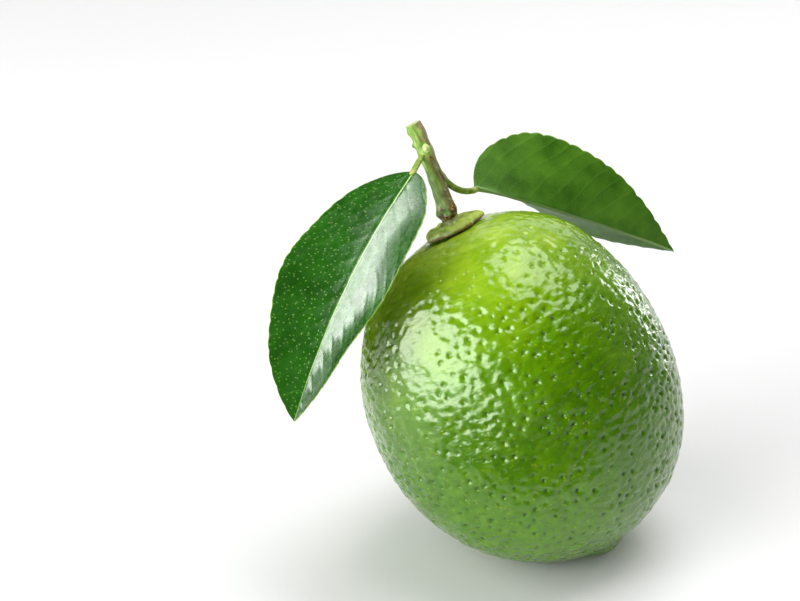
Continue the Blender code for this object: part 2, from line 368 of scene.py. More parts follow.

# %% [markdown]
# ## The rind: relief
#
# The relief could be a bump in the finish, but it breaks up every highlight and shows at the
# fruit's edge, so it is real shape. Each pit is a shallow dish with a small hole in the middle.
# Between the pits the rind swells into soft pebbles, a little drawn out round the fruit, with a
# finer grain on them. It is calmer towards the stem. A slow wave keeps the whole fruit from
# looking turned on a lathe. Each vertex also stores the way to its nearest pit, so that the
# finish can draw a small crisp pore there, finer than the mesh: a dent in the bump and a dark
# dot of painted shade.

# %% Work out the relief
DISH_RADIUS = 0.60 * MM
DISH_DEPTH = 0.22 * MM
HOLE_RADIUS = 0.30 * MM
HOLE_DEPTH = 0.34 * MM
PEBBLE_SIZE = 1.35 * MM
PEBBLE_HEIGHT = 0.18 * MM
GRAIN_SIZE = 0.62 * MM
GRAIN_HEIGHT = 0.07 * MM
WAVE_SIZE = 9.0 * MM
WAVE_HEIGHT = 0.30 * MM
PITS_IN_REACH = 3             # how many pits can shape one point
CALM_START = 0.5              # the height where the calm begins, in half lengths
CALM_SPAN = 0.45
CALMED = 0.55                 # share of the relief that goes at the stem end


def smooth_noise(points, size):
    """Soft noise from -1 to 1 with lumps of about this size."""
    return np.array([noise.noise(Vector(point) / size) for point in points])


def calm(points):
    """How calm the relief is: 1 at the stem end, 0 from halfway down to the middle."""
    return np.clip((points[:, 2] / HALF_LENGTH - CALM_START) / CALM_SPAN, 0.0, 1.0)


def round_the_fruit(points):
    """The same points, squeezed along the fruit's rings, so that noise on them draws out."""
    drawn = points.copy()
    drawn[:, :2] *= 0.85
    drawn[:, 2] *= 1.3
    return drawn


def dishes(points):
    """Depth of the pits at these points, the way to the nearest, and how deep that one is."""
    depth, strength = np.zeros(len(points)), np.zeros(len(points))
    nearest = np.zeros_like(points)
    for row, point in enumerate(points):
        found = pit_tree.find_n(point, PITS_IN_REACH)
        for _, index, gap in found:
            wide, narrow = DISH_RADIUS * pit_radii[index], HOLE_RADIUS * pit_radii[index]
            dish = DISH_DEPTH * exp(-(gap / wide) ** 2)
            hole = HOLE_DEPTH * exp(-(gap / narrow) ** 2)
            depth[row] += pit_depths[index] * (dish + hole)
        nearest[row] = found[0][0]
        strength[row] = pit_depths[found[0][1]]
    return depth, nearest - points, strength


def relief(points):
    """Height of the relief over the bare rind, the way to the nearest pit, and how strongly its
    pore shows, as a dent and as a dot of painted shade."""
    quiet = calm(points)
    depth, way, strength = dishes(points)
    drawn = round_the_fruit(points)
    pebbles = smooth_noise(drawn, PEBBLE_SIZE)
    height = pebbles * PEBBLE_HEIGHT + smooth_noise(drawn, GRAIN_SIZE) * GRAIN_HEIGHT
    height -= depth
    height *= 1.0 - CALMED * quiet
    height += WAVE_HEIGHT * (smooth_noise(points, WAVE_SIZE) - 0.5)
    # the painted shade in the pores is darkest towards the tip, where the rind lies in shade,
    # and hardly shows at the stem end
    low = np.clip(0.35 - 1.1 * points[:, 2] / HALF_LENGTH, 0.0, 1.0)
    return height, way, strength * (0.35 + 0.65 * low) * (1.0 - 0.6 * quiet)


# %% [markdown]
# ## The rind: the mesh
#
# A ball of squares crowds them at its poles, and one pole is the stem end, where the eye
# goes first. A ball of even triangles has no such place. Each vertex goes to the bare rind
# and then out by the relief. Whatever would sink into the table is lifted to it, which gives
# the flat spot that the lime rests on.

# %% Build the rind
RIND_CUTS = 98                # keeps the mesh just under two hundred thousand triangles
PORE_REACH = 0.7 * MM


def rind_mesh():
    bm = globe(RIND_CUTS)
    mesh = bpy.data.meshes.new("rind")
    bm.to_mesh(mesh)
    bm.free()
    points = bare_rind(coordinates(mesh))
    mesh.vertices.foreach_set("co", points.ravel())
    mesh.update()
    normals = np.empty(points.size)
    mesh.vertices.foreach_get("normal", normals)
    height, way, strength = relief(points)
    points += normals.reshape(-1, 3) * height[:, None]
    floor = np.array(LIME.inverted() @ Vector((0.0, 0.0, 0.0)))
    up = np.array(LIME.to_3x3().inverted() @ Vector((0.0, 0.0, 1.0)))
    below = np.clip(-(points - floor) @ up, 0.0, None)
    points += below[:, None] * up
    mesh.vertices.foreach_set("co", points.ravel())
    mesh.update()
    mesh.shade_smooth()
    gap = np.linalg.norm(way, axis=1)
    store(mesh, "way_to_pit", way)
    near = np.clip((PORE_REACH - gap) / (0.3 * PORE_REACH), 0.0, 1.0)
    store(mesh, "near_pit", near * strength)
    print("relief in mm:", round(height.min() / MM, 2), "to", round(height.max() / MM, 2))
    return mesh


# %% [markdown]
# ## The rind's finish
#
# Up close a lime isn't one green. It is paler and yellower towards the stem, deepest round the
# middle, and clouded everywhere, with fine streaks that run round the fruit. The paler yellow at
# the stem end is the lime's own colour, but the ends are also lighter and the middle deeper
# because of how the fruit is lit, and that part is painted light and shade. Each pit has a dark
# pore, a dot of painted shade in the hole. Between the pores lie tiny yellow dots, glands that
# haven't sunk, and a few brown scars. The wax on top is a clear coat over a softer sheen. Each
# of these is one colour laid over the last, so any of them can be left out to see what it does.

# %% Finish of the rind
# Lighter at both ends than round the middle. The stem end's paler yellow is the lime's own
# colour; the rest of the lightness at the ends, and the depth round the middle, is painted light
# and shade from how the fruit is lit.
RIND_GREENS_AND_PAINTED_LIGHT = (               # from the tip, at 0, to the stem end, at 1
    (0.00, (0.085, 0.21, 0.006)), (0.25, (0.060, 0.165, 0.0010)),
    (0.50, (0.042, 0.125, 0.0002)), (0.68, (0.080, 0.20, 0.0003)),
    (0.86, (0.19, 0.34, 0.0020)), (1.00, (0.34, 0.50, 0.025)),
)
BLOTCH_GREEN = (0.14, 0.30, 0.001)
STREAK_GREEN = (0.055, 0.17, 0.001)
GLAND_YELLOW = (0.36, 0.42, 0.02)
# colour of the painted shade in each pit
PIT_SHADE_GREEN = (0.014, 0.060, 0.0005)
SCAR_BROWN = (0.20, 0.16, 0.05)
PORE_RADIUS = 0.42 * MM
PORE_CORE = 0.14 * MM
SKIN_DEPTH = 0.08 * MM


def rind_finish():
    rind = Finish("lime_rind", Roughness=0.3, IOR=1.45, Coat_Weight=0.35, Coat_Roughness=0.10,
                  Specular_Tint=(0.92, 1.0, 0.84, 1.0), Coat_Tint=(0.96, 1.0, 0.92, 1.0),
                  Subsurface_Weight=0.10, Subsurface_Scale=2.0 * MM)
    where = rind.position()
    height = rind.node("SeparateXYZ", {"Vector": where}).outputs["Z"]
    clouds = rind.noise(where, 130.0, 4.0)
    along = rind.math("MULTIPLY_ADD", height, 1.0 / (2.0 * HALF_LENGTH), 0.5)
    along = rind.math("ADD", along, rind.fade(clouds, 0.0, 1.0, -0.14, 0.14))
    ground = rind.ramp(along, *RIND_GREENS_AND_PAINTED_LIGHT)
    blotches = rind.fade(rind.noise(where, 420.0, 3.0), 0.35, 0.75, 0.0, 0.30)
    ground = rind.mix(blotches, ground, BLOTCH_GREEN)
    streaks = rind.noise(rind.stretch(where, (0.35, 0.35, 2.4)), 900.0, 3.0)
    ground = rind.mix(rind.fade(streaks, 0.42, 0.66, 0.0, 0.20), ground, STREAK_GREEN)
    dots = rind.cells(where, 1500.0).outputs["Distance"]
    bright = rind.fade(rind.noise(where, 700.0, 1.0), 0.5, 0.62)
    dots = rind.math("MULTIPLY", rind.fade(dots, 0.34, 0.12), bright)
    ground = rind.mix(rind.math("MULTIPLY", dots, 0.35), ground, GLAND_YELLOW)
    way = rind.node("VectorMath", {0: rind.stored("way_to_pit", "Vector")}, operation="LENGTH")
    pit_dent_and_shade = rind.fade(way.outputs["Value"], PORE_RADIUS, PORE_CORE)
    pit_dent_and_shade = rind.math("MULTIPLY", pit_dent_and_shade, rind.stored("near_pit"))
    # painted shade: a dark dot in each pit, over the real dent
    ground = rind.mix(rind.math("MULTIPLY", pit_dent_and_shade, 0.8), ground, PIT_SHADE_GREEN)
    scars = rind.fade(rind.noise(where, 260.0, 6.0, 0.62), 0.735, 0.76)
    ground = rind.mix(scars, ground, SCAR_BROWN)
    rind.paint(ground)
    rind.shine(rind.fade(clouds, 0.3, 0.7, 0.14, 0.22))
    grain = rind.noise(rind.stretch(where, (0.6, 0.6, 1.3)), 2100.0, 3.0)
    skin = rind.math("MULTIPLY_ADD", grain, 1.2, rind.math("MULTIPLY", streaks, 0.5))
    rind.emboss(rind.math("SUBTRACT", skin, pit_dent_and_shade), SKIN_DEPTH)
    return rind


place("rind", rind_mesh(), "fruit", "rind", rind_finish())

# %% [markdown]
# ## Tubes
#
# The twig and the petioles are tubes that change along their length: they swell at nodes,
# carry ribs, and flatten. A curve with a bevel has one section all the way, so the tube is
# swept by hand. Rings of points follow a path, and a rule gives each point's distance from
# the path.

# %% Sweep a tube along a path
END_INSET = 0.35              # an end is closed by a ring this far in, then a fan


def sweep(name, path, radius_at, rings, sides, guide):
    """A closed tube. path(share) gives its middle line and radius_at(share, angle) its
    radius; angle 0 faces the guide."""
    shares = np.linspace(0.0, 1.0, rings)
    line = np.array([path(share) for share in shares])
    runs = np.gradient(line, axis=0)
    points, along, round_it = [], [], []
    for share, centre, run in zip(shares, line, runs):
        ahead = Vector(run).normalized()
        side = ahead.cross(Vector(guide)).normalized()
        front = side.cross(ahead)
        for step in range(sides):
            angle = 2.0 * pi * step / sides
            out = front * cos(angle) + side * sin(angle)
            points.append(Vector(centre) + out * radius_at(share, angle))
            along.append(share)
            round_it.append(angle)
    faces = []
    for ring in range(rings - 1):
        for step in range(sides):
            here, turn = ring * sides + step, ring * sides + (step + 1) % sides
            faces.append((here, turn, turn + sides, here + sides))
    for ring, flip in ((0, True), (rings - 1, False)):
        rim = [ring * sides + step for step in range(sides)]
        inner = [points[index].lerp(Vector(line[ring]), END_INSET) for index in rim]
        first = len(points)
        points += inner + [Vector(line[ring])]
        along += [shares[ring]] * (sides + 1)
        round_it += [round_it[index] for index in rim] + [0.0]
        for step in range(sides):
            turn = (step + 1) % sides
            quad = (rim[step], rim[turn], first + turn, first + step)
            tri = (first + step, first + turn, first + sides)
            faces += [quad[::-1], tri[::-1]] if flip else [quad, tri]
    mesh = new_mesh(name, points, faces)
    store(mesh, "along", np.array(along))
    store(mesh, "round_it", np.array(round_it))
    return mesh


def swell(distance, width):
    """A smooth bump: 1 at no distance, fading over the width."""
    return exp(-(distance / width) ** 2)


def outward(azimuth):
    """The level direction at this angle round the fruit's axis."""
    return Vector((cos(azimuth), sin(azimuth), 0.0))


# %% [markdown]
# ## The calyx
#
# The calyx is the little five-lobed disc that held the flower and now holds the fruit. It
# lies on the rind and follows it, it is thickest inside its rim, and a collar in the middle
# grips the twig. It could be spun with a screw modifier and dented with a noise texture,
# but then the lobes and the lumps would know nothing of each other. So a turned section is
# laid down ring by ring, and the lobes, lumps and wrinkles are worked in as each ring is
# made. How far out and how high a vertex lies is stored, because the rim is the part that
# corks over.

# %% The calyx's section
SEAT = Vector((STEM_END_SWAY, 0.0, HALF_LENGTH - SEAT_DIP))
CALYX_SECTION = (             # share of the radius, and height in millimetres
    (0.00, 2.15), (0.20, 2.12), (0.29, 1.95), (0.34, 1.60), (0.40, 1.22), (0.50, 1.06),
    (0.64, 1.16), (0.80, 1.26), (0.92, 1.10), (0.99, 0.74), (1.00, 0.36), (0.97, 0.10),
    (0.90, 0.02), (0.70, 0.00), (0.40, 0.00), (0.00, 0.00),
)


def smooth_section(corners, count):
    """Evenly spaced points along a section, with its corners rounded."""
    corners = np.array(corners)
    for _ in range(2):
        cut = [corners[:1]]
        for here, there in zip(corners, corners[1:]):
            cut.append(np.array([0.75 * here + 0.25 * there, 0.25 * here + 0.75 * there]))
        corners = np.concatenate(cut + [corners[-1:]])
    run = np.append(0.0, np.cumsum(np.linalg.norm(np.diff(corners, axis=0), axis=1)))
    at = np.linspace(0.0, run[-1], count)
    return np.stack([np.interp(at, run, corners[:, axis]) for axis in (0, 1)], axis=1)


section = smooth_section(CALYX_SECTION, 56)
print("calyx section:", len(section), "points,", round(section[:, 1].max(), 2), "mm high")

# %% Build the calyx
CALYX_RADIUS = 5.2 * MM
CALYX_LOBES = 5
CALYX_SIDES = 150
LOBE_DEPTH = 0.06             # share of the radius
LOBE_UNEVENNESS = 0.09
LUMP_SIZE = 1.3 * MM
LUMP_HEIGHT = 0.40 * MM
WRINKLE_HEIGHT = 0.10 * MM
CALYX_LIFT = 0.10 * MM        # keeps the disc just off the bare rind
MERGE_DISTANCE = 1e-7


def rind_height(x, y):
    """Height of the bare rind over the middle of the fruit, near the stem end."""
    height = HALF_LENGTH
    for _ in range(4):
        across = np.hypot(x - STEM_END_SWAY * (height / HALF_LENGTH) ** 3, y)
        share = (across / FRUIT_RADIUS) ** STEM_HALF_FULLNESS
        height = HALF_LENGTH * (1.0 - share) ** (1.0 / STEM_HALF_FULLNESS)
    return height - SEAT_DIP * cap(across / SEAT_DIP_RADIUS, 2.0)


def calyx_mesh():
    points, outness, rise = [], [], []
    for across, height in section:
        for step in range(CALYX_SIDES):
            angle = 2.0 * pi * step / CALYX_SIDES
            ray = outward(angle)
            lobe = 1.0 + across ** 3 * (LOBE_DEPTH * cos(CALYX_LOBES * angle)
                                        + LOBE_UNEVENNESS * noise.noise(ray * 2.3))
            reach = CALYX_RADIUS * across * lobe
            x, y = ray.x * reach, ray.y * reach
            lump = LUMP_HEIGHT * noise.noise(Vector((x, y, height * MM)) / LUMP_SIZE)
            wrinkle = WRINKLE_HEIGHT * noise.noise(Vector((angle * 4.5, across * 1.5, 3.0)))
            tilt = 0.15 * across * noise.noise(ray * 1.7 + Vector((5, 0, 0)))
            lift = height * MM * (1.0 - tilt)
            lift += (lump + wrinkle * across) * min(1.0, height)
            ground = rind_height(SEAT.x + x, SEAT.y + y) + CALYX_LIFT
            points.append((SEAT.x + x, SEAT.y + y, ground + lift))
            outness.append(across)
            rise.append(height)
    faces = []
    for ring in range(len(section) - 1):
        for step in range(CALYX_SIDES):
            here = ring * CALYX_SIDES + step
            turn = ring * CALYX_SIDES + (step + 1) % CALYX_SIDES
            faces.append((here, here + CALYX_SIDES, turn + CALYX_SIDES, turn))
    mesh = new_mesh("calyx_disc", points, faces)
    store(mesh, "outness", np.array(outness))
    store(mesh, "rise", np.array(rise))
    bm = bmesh.new()
    bm.from_mesh(mesh)
    bmesh.ops.remove_doubles(bm, verts=bm.verts, dist=MERGE_DISTANCE)
    bm.to_mesh(mesh)
    bm.free()
    mesh.shade_smooth()
    return mesh


# %% [markdown]
# ## The calyx's finish
#
# The disc is a paler, yellower green than the rind and has no wax. Cork grows in from the lower
# edge of its rim. The crease round the collar is darkened with painted shade. A noise alone
# would put the brown anywhere, so it is laid on by how far out and how high a vertex lies, and a
# noise only eats into its edge.

# %% Finish of the calyx
CORK = (0.16, 0.075, 0.022)
PALE_CORK = (0.33, 0.22, 0.09)
CREASE_SHADE_OLIVE = (0.085, 0.075, 0.015)


def calyx_finish():
    calyx = Finish("calyx_green", Roughness=0.5, IOR=1.42, Subsurface_Weight=0.08,
                   Subsurface_Scale=1.0 * MM)
    where = calyx.position()
    ground = calyx.ramp(calyx.noise(where, 600.0, 4.0), (0.32, (0.14, 0.24, 0.015)),
                        (0.5, (0.32, 0.43, 0.045)), (0.68, (0.44, 0.55, 0.09)))
    eaten = calyx.fade(calyx.noise(where, 1300.0, 4.0), 0.3, 0.7, -1.0, 1.0)
    out = calyx.math("MULTIPLY_ADD", eaten, 0.06, calyx.stored("outness"))
    low = calyx.math("MULTIPLY_ADD", eaten, 0.28, calyx.stored("rise"))
    rim = calyx.math("MULTIPLY", calyx.fade(out, 0.84, 0.92), calyx.fade(low, 0.62, 0.42))
    ground = calyx.mix(rim, ground, calyx.mix(calyx.noise(where, 1500.0, 2.0), CORK, PALE_CORK))
    # painted shade in the crease round the collar, where the twig sinks in
    crease_shade = calyx.math("MULTIPLY", calyx.fade(out, 0.44, 0.36), calyx.fade(out, 0.24, 0.32))
    ground = calyx.mix(calyx.math("MULTIPLY", crease_shade, 0.7), ground, CREASE_SHADE_OLIVE)
    calyx.paint(ground)
    calyx.emboss(calyx.noise(where, 2600.0, 5.0, 0.6), 0.10 * MM)
    return calyx


place("calyx_disc", calyx_mesh(), "calyx", "calyx", calyx_finish())

# %% [markdown]
# ## The twig
#
# The twig was cut a finger's width over the fruit. It leans a little as it rises, flares at
# its foot, where it sinks into the calyx's collar, and swells where a petiole leaves it. It
# isn't round: young citrus wood is ribbed, and lumps, a cut stub and old scars stand out of
# it. They could be sculpted by hand, but a list is easier to change. Each is one row: its
# height, the way it faces, its width and, for a lump, how far it stands out.

# %% The twig's facts
STEM_LENGTH = 16.3 * MM
STEM_RADIUS = 1.28 * MM
STEM_FLARE = 0.36 * MM
STEM_SWAY = Vector((1.5, -0.6, 0.0)) * MM
STEM_FOOT = SEAT + Vector((0.0, 0.0, 2.5 * MM))
SUNK = 1.3 * MM               # how far the foot goes down into the collar
NECK_PINCH = 0.28 * MM        # the foot narrows where it meets the collar
NODE_HEIGHTS = (11.0 * MM, 6.2 * MM)
NODE_SWELL = 0.10 * MM
RIBS = 5
RIB_HEIGHT = 0.055 * MM
RIB_TWIST = 1.08              # radians from foot to cut
BARK_LUMP = 0.14 * MM
TWIG_RINGS = 150
TWIG_SIDES = 56
CORKED_SIDE = radians(345)
KNOTS = (
    (15.1 * MM, radians(195), 0.75 * MM, 0.34 * MM),
    (12.9 * MM, radians(188), 0.50 * MM, 0.50 * MM),
    (11.0 * MM, radians(240), 0.80 * MM, 0.28 * MM),
    (10.6 * MM, radians(287), 0.55 * MM, 0.22 * MM),
    (6.3 * MM, radians(10), 0.80 * MM, 0.30 * MM),
    (1.5 * MM, radians(235), 0.60 * MM, 0.26 * MM),
    (0.9 * MM, radians(315), 0.80 * MM, 0.40 * MM),
    (0.6 * MM, radians(190), 0.60 * MM, 0.30 * MM),
    (0.2 * MM, radians(270), 0.55 * MM, 0.35 * MM),
)
SCARS = (
    (12.9 * MM, radians(188), 0.28 * MM),
    (1.7 * MM, radians(240), 0.42 * MM),
    (0.5 * MM, radians(228), 0.50 * MM),
    (1.0 * MM, radians(320), 0.70 * MM),
    (3.1 * MM, radians(20), 0.60 * MM),
    (10.2 * MM, radians(287), 0.42 * MM),
    (12.2 * MM, radians(305), 0.35 * MM),
    (-0.3 * MM, radians(250), 0.80 * MM),
    (-0.3 * MM, radians(300), 0.80 * MM),
)
print("twig:", round(2.0 * STEM_RADIUS / MM, 2), "mm thick with", len(KNOTS), "lumps and",
      len(SCARS), "scars")


# %% Build the twig
def stem_centre(height):
    """The twig's middle line; it leans most near its foot."""
    left = 1.0 - height / STEM_LENGTH
    return STEM_FOOT + STEM_SWAY * (1.0 - left ** 2) + Vector((0.0, 0.0, height))


def facing_gap(angle, azimuth):
    """Shortest turn from one direction to the other."""
    return (angle - azimuth + pi) % (2.0 * pi) - pi


def nearness(height, angle, spot_height, azimuth, width):
    """How near a point of the bark is to a spot: 1 on it, fading over the width."""
    along = (height - spot_height) / width
    round_it = STEM_RADIUS * facing_gap(angle, azimuth) / width
    return exp(-along ** 2 - round_it ** 2)


def stem_radius(height, angle):
    radius = STEM_RADIUS + STEM_FLARE * swell(height - 0.9 * MM, 2.2 * MM)
    radius -= NECK_PINCH * min(1.0, max(0.0, 0.3 - height / (1.0 * MM)))
    for node_height in NODE_HEIGHTS:
        radius += NODE_SWELL * swell(height - node_height, 1.1 * MM)
    twist = angle + RIB_TWIST * height / STEM_LENGTH
    radius += RIB_HEIGHT * cos(RIBS * twist)
    spot = Vector((cos(angle), sin(angle), height / (2.6 * MM)))
    radius += BARK_LUMP * noise.noise(spot * 1.6)
    for spot_height, azimuth, width, rise in KNOTS:
        radius += rise * nearness(height, angle, spot_height, azimuth, width)
    return radius


def azimuth_of(angle):
    """The sweep counts from its guide, which for the twig is -Y."""
    return -0.5 * pi + angle


def stem_mesh():
    span = STEM_LENGTH + SUNK

    def height_at(share):
        return share * span - SUNK

    mesh = sweep("twig", lambda share: stem_centre(height_at(share)),
                 lambda share, angle: stem_radius(height_at(share), azimuth_of(angle)),
                 TWIG_RINGS, TWIG_SIDES, (0.0, -1.0, 0.0))
    points = coordinates(mesh)
    scar, facing = [], []
    for point in points:
        height = point[2] - STEM_FOOT.z
        centre = stem_centre(height)
        angle = np.arctan2(point[1] - centre.y, point[0] - centre.x)
        scar.append(max(nearness(height, angle, *spot) for spot in SCARS))
        facing.append(cos(facing_gap(angle, CORKED_SIDE)))
    store(mesh, "scar", np.array(scar))
    store(mesh, "facing", np.array(facing))
    return mesh


# %% [markdown]
# ## The twig's finish
#
# One side of the twig is still green and the other has begun to cork. The stored facing
# decides which, and a noise stretched along the twig tears the border into streaks. Corky
# flecks break through the green as pale dashes, and the scars are crumbs of brown and
# ochre. The cut end is pale wood.

# %% Finish of the twig
FLECK = (0.56, 0.60, 0.36)
CRUMB_BROWN = (0.060, 0.030, 0.010)
CRUMB_OCHRE = (0.42, 0.25, 0.070)
CUT_WOOD = (0.50, 0.52, 0.24)
BARK_DEPTH = 0.16 * MM


def bark_finish():
    bark = Finish("young_bark", Roughness=0.52, IOR=1.42)
    where = bark.position()
    streaks = bark.noise(bark.stretch(where, (1.0, 1.0, 0.16)), 2600.0, 4.0, 0.6)
    patches = bark.noise(where, 520.0, 3.0)
    green = bark.ramp(streaks, (0.3, (0.075, 0.17, 0.012)), (0.52, (0.19, 0.33, 0.035)),
                      (0.75, (0.45, 0.55, 0.20)))
    cork = bark.ramp(streaks, (0.35, (0.055, 0.045, 0.014)), (0.5, (0.17, 0.15, 0.045)),
                     (0.7, (0.40, 0.33, 0.16)))
    side = bark.math("ADD", bark.stored("facing"), bark.fade(patches, 0.3, 0.7, -0.45, 0.45))
    side = bark.math("ADD", side, bark.fade(streaks, 0.3, 0.7, -0.25, 0.25))
    ground = bark.mix(bark.fade(side, 0.42, 0.85), green, cork)
    flecks = bark.fade(bark.noise(bark.stretch(where, (1.0, 1.0, 0.5)), 1900.0, 2.0), 0.66, 0.70)
    ground = bark.mix(bark.math("MULTIPLY", flecks, 0.6), ground, FLECK)
    torn = bark.fade(bark.noise(where, 2400.0, 3.0), 0.3, 0.7, -0.3, 0.3)
    scar = bark.math("ADD", bark.stored("scar"), torn)
    crumbs = bark.fade(bark.noise(where, 2000.0, 2.0), 0.45, 0.6)
    crumbs = bark.mix(crumbs, CRUMB_BROWN, CRUMB_OCHRE)
    ground = bark.mix(bark.fade(scar, 0.35, 0.6), ground, crumbs)
    height = bark.node("SeparateXYZ", {"Vector": where}).outputs["Z"]
    top = STEM_FOOT.z + STEM_LENGTH
    cut = bark.fade(height, top - 0.05 * MM, top + 0.02 * MM)
    ground = bark.mix(cut, ground, CUT_WOOD)
    bark.paint(ground)
    bark.emboss(bark.math("ADD", streaks, bark.math("MULTIPLY", flecks, 0.4)), BARK_DEPTH)
    return bark


place("twig", stem_mesh(), "stem", "bark", bark_finish())

# %% [markdown]
# ## The bud
#
# In the corner between the left petiole and the twig sits a bud, an egg smaller than a
# grain of rice. Scales wrap it. Modelling each scale would be lost at this size, so a ball
# is drawn out to a point, and a spiral ridge lifts the edges of the scales.

# %% Build the bud
BUD_RADIUS = 0.62 * MM
BUD_LENGTH = 1.6 * MM
BUD_HEIGHT = 11.9 * MM
BUD_AZIMUTH = radians(282)
SCALE_TURNS = 2.5
SCALE_RISE = 0.10             # share of the bud's radius
TIP_TAPER = 0.22
BUD_CUTS = 14


def bud_mesh():
    centre = stem_centre(BUD_HEIGHT) + outward(BUD_AZIMUTH) * (STEM_RADIUS + 0.75 * BUD_RADIUS)
    bm = globe(BUD_CUTS)
    for vert in bm.verts:
        ray = vert.co.copy()
        angle = np.arctan2(ray.y, ray.x) / (2.0 * pi)
        edge = (SCALE_TURNS * 0.5 * (ray.z + 1.0) + 2.0 * angle) % 1.0
        width = BUD_RADIUS * (1.0 - TIP_TAPER * max(0.0, ray.z))
        width *= 1.0 + SCALE_RISE * (1.0 - edge)
        vert.co = centre + Vector((ray.x * width, ray.y * width, 0.5 * BUD_LENGTH * ray.z))
    mesh = bpy.data.meshes.new("bud_scales")
    bm.to_mesh(mesh)
    bm.free()
    mesh.shade_smooth()
    return mesh


def bud_finish():
    bud = Finish("bud_scales", Roughness=0.5, Subsurface_Weight=0.1, Subsurface_Scale=0.5 * MM)
    where = bud.position()
    bud.paint(bud.ramp(bud.noise(where, 1800.0, 3.0), (0.3, (0.20, 0.31, 0.05)),
                       (0.6, (0.46, 0.55, 0.20))))
    bud.emboss(bud.noise(where, 6000.0, 2.0), 0.05 * MM)
    return bud


place("bud_scales", bud_mesh(), "bud", "bud", bud_finish())

# %% [markdown]
# ## The leaves' facts
#
# A leaf has a petiole, a joint where the petiole meets the blade, and the blade. Both
# leaves are made by the same functions. What differs is gathered in one place: where the
# petiole leaves the twig, how it bends, how long and wide the blade is, how it folds along
# its midrib, and where its tip and its upper side point. The left leaf shows its glossy
# upper side. The right one has folded over and shows its dull underside.

# %% The two leaves
class Leaf(NamedTuple):
    side: str
    node_height: float        # where the petiole leaves the twig
    node_azimuth: float
    reach: Vector             # from the twig's middle to the blade's foot
    bend: Vector              # how far the petiole bows out halfway
    length: float
    half_width: float
    foot_bluntness: float
    tip_sharpness: float
    foot_fold: float          # how far each half is turned up from flat
    tip_fold: float
    arch: float               # how far the midrib bows
    spread: float             # from the rind's widest ring out to the blade's tip
    azimuth: float
    drop: float               # from the fruit's stem end down to the blade's tip
    face: Vector              # the way the upper side looks
    cupping: float            # 0 for flat halves, more for halves that curve up
    tooth: float
    seed: float
    tuck: float = 0.0         # share by which the half at the back narrows at the foot


LEAVES = (
    Leaf(side="left", node_height=11.0 * MM, node_azimuth=radians(240),
         reach=Vector((-3.0, -4.4, -1.4)) * MM, bend=Vector((0.0, 0.0, 0.4)) * MM,
         length=45.0 * MM, half_width=13.0 * MM, foot_bluntness=0.62, tip_sharpness=0.77,
         foot_fold=radians(7), tip_fold=radians(22), arch=2.4 * MM, spread=13.8 * MM,
         azimuth=radians(213.2), drop=13.7 * MM, face=Vector((-0.29, -0.58, 0.76)),
         cupping=0.6, tooth=0.22 * MM, seed=1.0),
    Leaf(side="right", node_height=6.2 * MM, node_azimuth=radians(20),
         reach=Vector((4.9, 2.4, -4.3)) * MM, bend=Vector((-1.1, -0.6, -1.9)) * MM,
         length=48.0 * MM, half_width=12.9 * MM, foot_bluntness=0.54, tip_sharpness=1.04,
         foot_fold=radians(77), tip_fold=radians(24), arch=1.1 * MM, spread=18.7 * MM,
         azimuth=radians(40.7), drop=25.6 * MM, face=Vector((0.0, 0.74, 0.68)),
         cupping=0.05, tooth=0.30 * MM, seed=4.0, tuck=0.75),
)


def blade_foot(leaf):
    return stem_centre(leaf.node_height) + leaf.reach


def blade_aim(leaf):
    """The way the midrib runs, from the blade's foot to its tip."""
    tip = outward(leaf.azimuth) * (FRUIT_RADIUS + leaf.spread)
    tip.z = HALF_LENGTH - leaf.drop
    return (tip - blade_foot(leaf)).normalized()


def blade_frame(leaf):
    """The blade's own frame: X along the midrib, Z out of its upper side."""
    aim = blade_aim(leaf)
    across = leaf.face.cross(aim).normalized()
    turn = Matrix((aim, across, aim.cross(across))).transposed()
    return Matrix.Translation(blade_foot(leaf)) @ turn.to_4x4()


for leaf in LEAVES:
    print(leaf.side, "leaf:", round(leaf.length / MM, 1), "by",
          round(2.0 * leaf.half_width / MM, 1), "mm")

# %% [markdown]
# ## The petioles
#
# A citrus petiole is a thin stalk with a flat top and a narrow wing on each side, and it
# ends in a swollen yellowish joint. The twig's sweep makes it too: the radius is larger to
# the sides than up and down, and the groove on top is a dip in the rule.

# %% Build the petioles
PETIOLE_RINGS = 60
PETIOLE_SIDES = 28
PETIOLE_RADIUS = 0.4048 * MM
WING = 0.20 * MM
GROOVE = 0.12 * MM
JOINT_SWELL = 0.16 * MM
JOINT_AT = 0.93               # share of the stalk
ROOT = 0.2 * MM               # how far each end goes into what it grows from
TIP_ROOT = 0.5 * MM


def petiole_mesh(leaf):
    away = outward(leaf.node_azimuth)
    start = stem_centre(leaf.node_height) + away * (STEM_RADIUS - ROOT)
    end = blade_foot(leaf) + blade_aim(leaf) * TIP_ROOT
    bow = start.lerp(end, 0.5) + leaf.bend

    def path(share):
        return start.lerp(bow, share).lerp(bow.lerp(end, share), share)

    def radius_at(share, angle):
        joint = swell(share - JOINT_AT, 0.10) + 0.8 * swell(share, 0.12)
        wing = WING * abs(sin(angle)) ** 3 * (1.0 - joint)
        groove = GROOVE * max(0.0, cos(angle)) ** 6 * (1.0 - joint)
        rough = 0.03 * MM * noise.noise(Vector((angle, share * 9.0, leaf.seed)))
        return PETIOLE_RADIUS + wing - groove + JOINT_SWELL * joint + rough

    return sweep(leaf.side + "_stalk", path, radius_at, PETIOLE_RINGS, PETIOLE_SIDES,
                 blade_frame(leaf).col[2].xyz)


# %% [markdown]
# ## The petioles' finish
#
# The stalk is the green of young wood, with no gloss to speak of. It yellows where it meets
# the blade and browns where it meets the twig, so the colour follows the share of its
# length that the sweep stored.

# %% Finish of the petioles
JOINT_YELLOW = (0.42, 0.44, 0.10)
FOOT_BROWN = (0.14, 0.15, 0.03)


